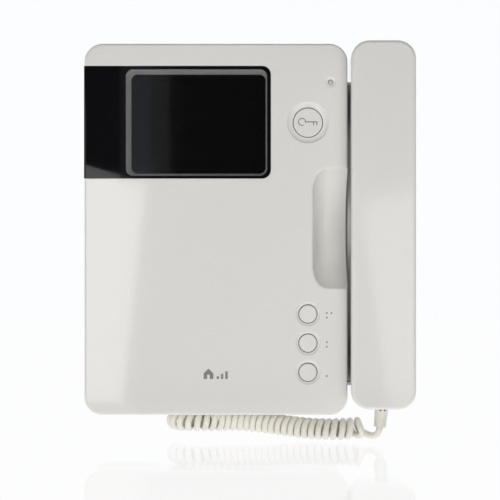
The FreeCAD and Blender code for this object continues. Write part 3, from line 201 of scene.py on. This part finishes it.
def grained_plastic(name, colour, roughness=0.5, grains=2600.0, depth=0.00003):
    """Spark-eroded moulding: an even fine grain with a soft sheen."""
    f = Finish(name)
    grain = f.noise(grains, 2.0)
    clouds = f.noise(14.0, 3.0)
    tone = f.mix(clouds.band(0.3, 0.7), colour, shaded(colour, 0.95))
    tone = f.mix(grain.band(0.3, 0.7) * 0.25, tone, shaded(colour, 0.88))
    # Painted shade on the walls deep in the gaps round the keys.
    tone = with_painted_gap_shade(f, tone, colour)
    rough = grain.band(0.3, 0.7, roughness - 0.06, roughness + 0.08)
    return f.surface(Base_Color=tone, Roughness=rough, IOR=1.46, Normal=f.bump(grain, depth))


def flexible_vinyl(name, colour, roughness=0.34):
    """Soft cord and sleeve plastic: waxy, with handling marks."""
    f = Finish(name)
    marks = f.noise(120.0, 4.0)
    tone = f.mix(marks.band(0.4, 0.75), colour, shaded(colour, 0.93))
    rough = marks.band(0.3, 0.7, roughness - 0.05, roughness + 0.08)
    normal = f.bump(f.noise(1500.0, 2.0), 0.00001)
    return f.surface(
        Base_Color=tone,
        Roughness=rough,
        Normal=normal,
        Subsurface_Weight=0.12,
        Subsurface_Radius=(0.002, 0.0018, 0.0012),
    )


def plain_print(name, colour):
    """Screen-printed ink: matt, with a slightly uneven film."""
    f = Finish(name)
    film = f.noise(3000.0, 2.0)
    tone = f.mix(film.band(0.3, 0.8), colour, shaded(colour, 1.12))
    return f.surface(Base_Color=tone, Roughness=film.band(0.2, 0.8, 0.35, 0.5))


def metal(name, colour, roughness=0.3, stretch=(1, 1, 1)):
    """Plated steel: a faint spangle and drawn lines."""
    f = Finish(name)
    spangle = f.noise(260.0, 3.0)
    lines = f.noise(900.0, 2.0, stretch)
    tone = f.mix(spangle.band(0.3, 0.7), colour, shaded(colour, 0.84))
    rough = spangle.band(0.3, 0.7, roughness - 0.06, roughness + 0.1)
    return f.surface(Base_Color=tone, Metallic=1.0, Roughness=rough, Normal=f.bump(lines, 0.00001))


def circuit_board(name):
    """Solder-masked board: traces under the mask and a woven base."""
    f = Finish(name)
    x, _, z = f.axes()
    traces = f.add(
        "ShaderNodeTexBrick",
        {"offset": 0.4, "squash": 0.6},
        {"Vector": f.place, "Scale": 120.0, "Mortar Size": 0.04},
    ).out("Fac")
    weave = abs((x * 2200.0).math("SINE")) * abs((z * 2200.0).math("SINE"))
    tone = f.mix(traces, (0.016, 0.11, 0.045), (0.03, 0.19, 0.08))
    tone = f.mix(weave * 0.2, tone, (0.02, 0.13, 0.06))
    return f.surface(Base_Color=tone, Roughness=0.32, Normal=f.bump(traces, 0.00004))


def smoked_panel(name, left, right, bottom, top, corner):
    """Black printed border round a clear, slightly smoked area with rounded corners."""
    f = Finish(name)
    x, _, z = f.axes()
    across = abs(x - (left + right) / 2) - ((right - left) / 2 - corner)
    upright = abs(z - (bottom + top) / 2) - ((top - bottom) / 2 - corner)
    past = across.most(0.0).power(2.0) + upright.most(0.0).power(2.0)
    edge = past.power(0.5) + across.most(upright).least(0.0) - corner
    border = edge.band(-0.00005, 0.00005)
    dust = f.noise(420.0, 5.0).band(0.66, 0.8)
    tone = f.mix(dust * 0.15, (0.0042, 0.0043, 0.005), (0.011, 0.011, 0.012))
    rough = f.noise(60.0, 3.0).band(0.3, 0.7, 0.02, 0.04)
    ink = f.add(
        "ShaderNodeBsdfPrincipled", None, {"Base Color": tone, "Roughness": rough, "IOR": 1.32}
    )
    clear = f.add("ShaderNodeBsdfTransparent", None, {"Color": (0.97, 0.97, 0.97, 1)})
    gloss = f.add("ShaderNodeBsdfGlossy", None, {"Color": (1, 1, 1, 1), "Roughness": rough})
    share = f.add("ShaderNodeFresnel", None, {"IOR": 1.34})
    pane = f.add("ShaderNodeMixShader", None, {0: share, 1: clear, 2: gloss})
    return f.close(f.add("ShaderNodeMixShader", None, {0: border, 1: pane, 2: ink}))


def dark_glass(name, colour, alpha):
    """Tube glass: dark tint, a faint cast and a clean gloss."""
    f = Finish(name)
    cast = f.noise(25.0, 2.0)
    tone = f.mix(cast.band(0.3, 0.7), colour, shaded(colour, 0.7))
    return f.surface(
        Base_Color=tone, Roughness=cast.band(0.2, 0.8, 0.05, 0.08), Alpha=alpha, IOR=1.52
    )


def ferrite(name):
    f = Finish(name)
    _, _, z = f.axes()
    wire = abs((z * 4200.0).math("SINE"))
    tone = f.mix(wire, (0.12, 0.035, 0.015), (0.32, 0.11, 0.04))
    return f.surface(Base_Color=tone, Roughness=0.35, Normal=f.bump(wire, 0.0002))


MASK_LEFT, MASK_RIGHT = -54.2 * MM, 30.7 * MM
MASK_BOTTOM, MASK_TOP = 32.1 * MM, 96.2 * MM

SHELL = (0.785, 0.778, 0.752)
finishes = {
    "front_cover": polished_plastic("cover_gloss", SHELL),
    "rear_housing": grained_plastic("housing_grain", shaded(SHELL, 0.96)),
    "handset_front_shell": polished_plastic("handset_gloss", shaded(SHELL, 0.985)),
    "door_release_button": grained_plastic("key_satin", shaded(SHELL, 0.99), 0.42, 3200.0, 0.00001),
    "screen_window": smoked_panel(
        "window_smoked", MASK_LEFT, MASK_RIGHT, MASK_BOTTOM, MASK_TOP, 4.4 * MM
    ),
    "screen_mask": grained_plastic("hood_white", (0.86, 0.855, 0.85), 0.4, 1800.0, 0.00001),
    "picture_tube": dark_glass("tube_glass", (0.0010, 0.0010, 0.0011), 0.85),
    "phosphor_screen": grained_plastic("tube_coating", (0.003, 0.003, 0.003), 0.6),
    "tube_pads": grained_plastic("foam_black", (0.02, 0.02, 0.02), 0.9, 1500.0, 0.0001),
    "deflection_yoke": ferrite("yoke_winding"),
    "tube_base": grained_plastic("moulding_black", (0.02, 0.02, 0.021), 0.4),
    "main_board": circuit_board("board_green"),
    "status_led": polished_plastic("indicator_clear", (0.57, 0.57, 0.56), 0.1),
    "key_symbol": plain_print("print_grey", (0.2, 0.2, 0.195)),
    "wall_bracket": metal("bracket_zinc", (0.62, 0.63, 0.64)),
    "cover_screws": metal("screw_zinc", (0.6, 0.6, 0.6), 0.25),
    "terminal_block": polished_plastic("terminal_green", (0.03, 0.2, 0.1), 0.3),
    "brightness_wheel": grained_plastic("wheel_grey", (0.36, 0.36, 0.355), 0.45),
    "earpiece_capsule": metal("capsule_can", (0.7, 0.7, 0.7), 0.3),
    "microphone_boot": flexible_vinyl("boot_black", (0.02, 0.02, 0.02)),
    # The strain relief takes the cord's cream darkened as painted shade.
    "handset_strain_relief": flexible_vinyl("relief_cream", (0.72, 0.71, 0.645), 0.3),
    "cord_plug": polished_plastic("plug_clear", (0.6, 0.62, 0.62), 0.12),
}
same_as = {
    "rear_housing": ["cradle_base", "handset_cradle"],
    "handset_front_shell": ["handset_rear_shell"],
    "door_release_button": ["upper_button", "middle_button", "lower_button", "hook_plunger"],
    "tube_base": [
        "flyback_transformer",
        "key_switches",
        "board_components",
        "call_buzzer",
        "control_pots",
        "hook_switch",
        "cord_jack",
    ],
    "main_board": ["upper_keypad_board", "lower_keypad_board"],
    "key_symbol": ["index_dots", "front_emblem"],
    "wall_bracket": ["handset_weight"],
    "cover_screws": [
        "main_board_screws",
        "keypad_screws",
        "terminal_screws",
        "cradle_screws",
        "handset_screws",
        "hook_spring",
    ],
    "brightness_wheel": ["contrast_wheel"],
    "earpiece_capsule": ["microphone_capsule"],
}


def dress(node, material):
    for slot in nodes[node].material_slots:
        slot.link = "OBJECT"
        slot.material = material


for first, material in finishes.items():
    for node in [first] + same_as.get(first, []):
        if node in nodes:
            dress(node, material)

# ------------------------------------------------------------------ curly cord
CORD = 3.9 * MM
TURN_RADIUS = 4.65 * MM
STEPS = 16  # points of the cord's line in one turn
SPLINE_PULL = (1 + math.cos(2 * math.pi / STEPS)) / 2  # the smooth line runs inside its points
PITCH = 4.3 * MM
LIFT = 0.35 * MM  # how far the far half of the coil lies nearer to the body
SLACK = 3.4 * MM  # how far the first turn leans back along the coil
FIRST_PHASE = math.radians(55)  # where the lead joins the first turn, up from its lowest point
LAST_PHASE = math.radians(90)  # where the last turn rises straight into the plug's lead
TAIL_ROUTE = [
    (98.229, -51.296, -118.234),
    (97.961, -51.111, -121.317),
    (95.3, -49.6, -123.9),
    (92.2, -46.9, -124.0),
]
COIL_ROUTE = [
    (87.4, -41.3, -119.8),
    (77.5, -43.8, -120.5),
    (66.0, -42.2, -120.9),
    (54.0, -37.8, -120.7),
    (42.0, -32.2, -119.8),
    (30.0, -26.2, -118.7),
    (18.0, -21.8, -118.15),
    (6.5, -21.6, -118.0),
    (-3.8, -24.2, -118.0),
    (-13.0, -24.8, -118.1),
    (-20.6, -21.4, -118.2),
    (-25.4, -14.8, -118.15),
    (-26.6, -6.6, -118.1),
]
PLUG_ROUTE = [
    (-21.75, -9.9, -109.4),
    (-23.0, -9.2, -102.4),
    (-23.75, -9.0, -95.4),
    (-23.75, -9.0, -88.0),
]


def smooth_line(name, points, resolution):
    """Points along the smooth curve that the route's points control."""
    curve = bpy.data.curves.new(name, "CURVE")
    curve.dimensions = "3D"
    spline = curve.splines.new("NURBS")
    spline.points.add(len(points) - 1)
    for point, place in zip(spline.points, points):
        point.co = (*place, 1.0)
    spline.order_u = 3
    spline.use_endpoint_u = True
    spline.resolution_u = resolution
    carrier = bpy.data.objects.new(name, curve)
    bpy.context.scene.collection.objects.link(carrier)
    bpy.context.view_layer.update()
    mesh = bpy.data.meshes.new_from_object(carrier)
    line = [v.co.copy() for v in mesh.vertices]
    bpy.data.objects.remove(carrier)
    bpy.data.meshes.remove(mesh)
    return line


def frames_along(line):
    """Each point's direction and a side vector that doesn't twist along the line."""
    ahead = [(b - a).normalized() for a, b in zip(line, line[1:])]
    ahead.append(ahead[-1])
    ways = [ahead[0]] + [(a + b).normalized() for a, b in zip(ahead, ahead[1:])]
    side = ways[0].orthogonal().normalized()
    result = []
    for way in ways:
        side = (side - way * side.dot(way)).normalized()
        result.append((way, side))
    return result


def tube_mesh(name, line, radius, sides=12):
    """A closed round tube with one ring at each point of the line."""
    verts, faces = [], []
    for point, (way, side) in zip(line, frames_along(line)):
        other = way.cross(side)
        for i in range(sides):
            a = 2 * math.pi * i / sides
            verts.append(point + (side * math.cos(a) + other * math.sin(a)) * radius)
    for ring in range(len(line) - 1):
        for i in range(sides):
            j = (i + 1) % sides
            a, b = ring * sides, (ring + 1) * sides
            faces.append((a + i, a + j, b + j, b + i))
    faces.append(tuple(range(sides))[::-1])
    last = (len(line) - 1) * sides
    faces.append(tuple(range(last, last + sides)))
    mesh = bpy.data.meshes.new(name)
    mesh.from_pydata(verts, [], faces)
    for polygon in mesh.polygons:
        polygon.use_smooth = True
    piece = bpy.data.objects.new(name, mesh)
    bpy.context.scene.collection.objects.link(piece)
    return piece


def in_metres(points):
    return [Vector(p) * MM for p in points]


def lengths_along(line):
    total = [0.0]
    for a, b in zip(line, line[1:]):
        total.append(total[-1] + (b - a).length)
    return total


def pitch_at(along, left):
    """Distance between turns: open in the first turn and towards the plug's end."""
    opening = 0.3 * math.exp(-((along / (3.0 * MM)) ** 2))
    spread = 0.16 * math.exp(-((left / (26.0 * MM)) ** 2))
    return PITCH * (1 + opening + spread)


def coil_points():
    """The left-handed helix round the coil's axis, a whole number of turns and a bit."""
    axis = smooth_line("coil_axis", in_metres(COIL_ROUTE), 24)
    lengths = lengths_along(axis)
    total = lengths[-1] - 3.9 * MM
    counts = [0.0]
    for near, far in zip(lengths, lengths[1:]):
        middle = (near + far) / 2
        counts.append(counts[-1] + (far - near) / pitch_at(middle, max(0.0, total - middle)))
    at_end = counts[max(i for i, there in enumerate(lengths) if there <= total)]
    whole = round(at_end - (LAST_PHASE - FIRST_PHASE) / (2 * math.pi))
    sweep = 2 * math.pi * whole + LAST_PHASE - FIRST_PHASE
    points, k = [], 0
    steps = round(sweep / (2 * math.pi) * STEPS)
    for step in range(steps + 1):
        turned = sweep * step / steps
        wanted = at_end * turned / sweep
        while k < len(counts) - 2 and counts[k + 1] < wanted:
            k += 1
        share = (wanted - counts[k]) / (counts[k + 1] - counts[k])
        centre = axis[k].lerp(axis[k + 1], share)
        way = (axis[k + 1] - axis[k]).normalized()
        down = Vector((0, 0, -1))
        down = (down - way * down.dot(way)).normalized()
        rear = down.cross(way)
        phase = FIRST_PHASE + turned
        slim = 1 - 0.13 * wanted / at_end
        radius = TURN_RADIUS / SPLINE_PULL * slim * (1 - 0.35 * math.exp(-turned * 1.6))
        slack = SLACK * math.exp(-(((phase - math.radians(325)) / 1.15) ** 2))
        point = centre + (down * math.cos(phase) + rear * math.sin(phase)) * radius
        lift = LIFT * min(1.0, 1.6 * wanted / at_end)
        points.append(point - way * slack + Vector((0, 0, lift)))
    return points


cord_points = in_metres(TAIL_ROUTE) + coil_points() + in_metres(PLUG_ROUTE)
cord_line = smooth_line("cord_line", cord_points, 3)
cord = tube_mesh("curly_cord", cord_line, CORD / 2, 14)
cord.data.materials.append(flexible_vinyl("cord_cream", (0.83, 0.81, 0.73), 0.26))
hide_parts("cord_handset_tail", "cord_coil", "cord_plug_tail")
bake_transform(cord)


# ------------------------------------------------------------------ floor, light, camera
EYE = Vector((0.020, -1.150, -0.0064))
FLOOR = -128.2 * MM


def flat_shape(name, corners, material):
    """A flat piece of the set with the given corners."""
    mesh = bpy.data.meshes.new(name)
    mesh.from_pydata(corners, [], [tuple(range(len(corners)))])
    mesh.materials.append(material)
    piece = bpy.data.objects.new(name, mesh)
    bpy.context.scene.collection.objects.link(piece)
    return piece


def floor_white():
    """Evenly lit white sheet that mirrors a little at low angles."""
    f = Finish("floor_white")
    fibres = f.noise(300.0, 3.0)
    tone = f.mix(fibres.band(0.3, 0.7), (1, 1, 1), (0.996, 0.996, 0.996))
    even = f.add("ShaderNodeEmission", None, {"Color": tone, "Strength": 0.985})
    mirror = f.add("ShaderNodeBsdfGlossy", None, {"Color": (1, 1, 1, 1), "Roughness": 0.05})
    low = f.add("ShaderNodeLayerWeight", None, {"Blend": 0.5}).out("Facing")
    share = low.power(4.0) * 0.3
    return f.close(f.add("ShaderNodeMixShader", None, {0: share, 1: even, 2: mirror}))


flat_shape(
    "floor_sheet",
    [(-1.6, -0.33, FLOOR), (1.6, -0.33, FLOOR), (1.6, 1.6, FLOOR), (-1.6, 1.6, FLOOR)],
    floor_white(),
)


def glowing(name, colour, radiance):
    """Diffusion cloth of a softbox, a little uneven."""
    f = Finish(name)
    folds = f.noise(3.0, 2.0)
    tone = f.mix(folds.band(0.3, 0.7), colour, shaded(colour, 0.97))
    return f.close(f.add("ShaderNodeEmission", None, {"Color": tone, "Strength": radiance}))


def softbox(name, outline, colour, radiance, y=EYE.y):
    """A lit cloth in an upright plane behind the camera; outline is its (x, z) corners."""
    cloth = flat_shape(name, [(x, y, z) for x, z in outline], glowing(name, colour, radiance))
    cloth.visible_camera = False
    return cloth


WARM = (1.0, 0.985, 0.965)
COOL = (0.97, 0.985, 1.0)
softbox("left_softbox", [(-0.104, 0.062), (-0.196, -0.8), (-0.55, -0.8), (-0.55, 0.196)], WARM, 3.9)
softbox("right_softbox", [(0.152, 0.04), (0.267, -0.8), (0.6, -0.8), (0.6, 0.134)], WARM, 2.1)
softbox("high_softbox", [(-0.8, 0.45), (0.8, 0.45), (0.8, 1.25), (-0.8, 1.25)], COOL, 0.7)
curved_side = [
    (-0.0955 - 0.004 * math.cos(t * math.pi / 8), 0.06 + 0.15 * (t + 4) / 8) for t in range(-4, 5)
]
softbox("blue_strip", [(-0.135, 0.06)] + curved_side + [(-0.135, 0.21)], (0.80, 0.84, 1.0), 0.34)
grey_edges = [(-0.0756, 0.06), (-0.0756, 0.21)]
softbox("grey_strip", curved_side[::-1] + grey_edges, (0.95, 1.0, 0.93), 0.19)


def soft_light(name, place, aim, size, power, colour):
    """A rectangular lamp aimed at a point."""
    lamp = bpy.data.lights.new(name, "AREA")
    lamp.shape = "RECTANGLE"
    lamp.size, lamp.size_y = size
    lamp.energy = power
    lamp.color = colour
    carrier = bpy.data.objects.new(name, lamp)
    carrier.location = place
    carrier.rotation_euler = (Vector(aim) - Vector(place)).to_track_quat("-Z", "Y").to_euler()
    carrier.visible_glossy = False
    bpy.context.scene.collection.objects.link(carrier)


front_aim = (0.03, -0.05, -0.03)
soft_light("front_fill", (0.2, -1.0, -0.08), front_aim, (0.3, 0.3), 1.75, (1.0, 0.99, 0.98))
soft_light("low_fill", (-0.55, -0.62, -0.3), (0.0, -0.05, -0.08), (0.35, 0.5), 0.8, WARM)


def studio_air():
    """Dim room air with a bright wall behind the object; the view itself sees white."""
    world = bpy.data.worlds.new("studio_air")
    bpy.context.scene.world = world
    f = Finish("studio_air", world)
    toward = f.add("ShaderNodeTexCoord").out("Generated")
    behind = f.add("ShaderNodeSeparateXYZ", None, {0: toward}).out("Y").band(0.1, 0.35)
    seen = f.add("ShaderNodeLightPath").out("Is Camera Ray")
    strength = behind.band(0.0, 1.0, 0.045, 0.99).most(seen * 0.995)
    inputs = {"Color": (0.97, 0.985, 1.0, 1), "Strength": strength}
    glow = f.add("ShaderNodeBackground", None, inputs)
    f.add("ShaderNodeOutputWorld", None, {"Surface": glow})


studio_air()

FRAME_WIDTH = 0.300  # what the view takes in at the cover's front
DISTANCE = 1.100
lens = bpy.data.cameras.new("front_view")
lens.sensor_width = 36.0
lens.lens = 36.0 * DISTANCE / FRAME_WIDTH
lens.shift_x = 0.0014
lens.shift_y = -0.02
lens.clip_start, lens.clip_end = 0.05, 20.0
camera = bpy.data.objects.new("front_view", lens)
camera.location = EYE
camera.rotation_euler = (math.radians(90), 0, 0)
bpy.context.scene.collection.objects.link(camera)
bpy.context.scene.camera = camera
bpy.context.scene.view_settings.view_transform = "Standard"
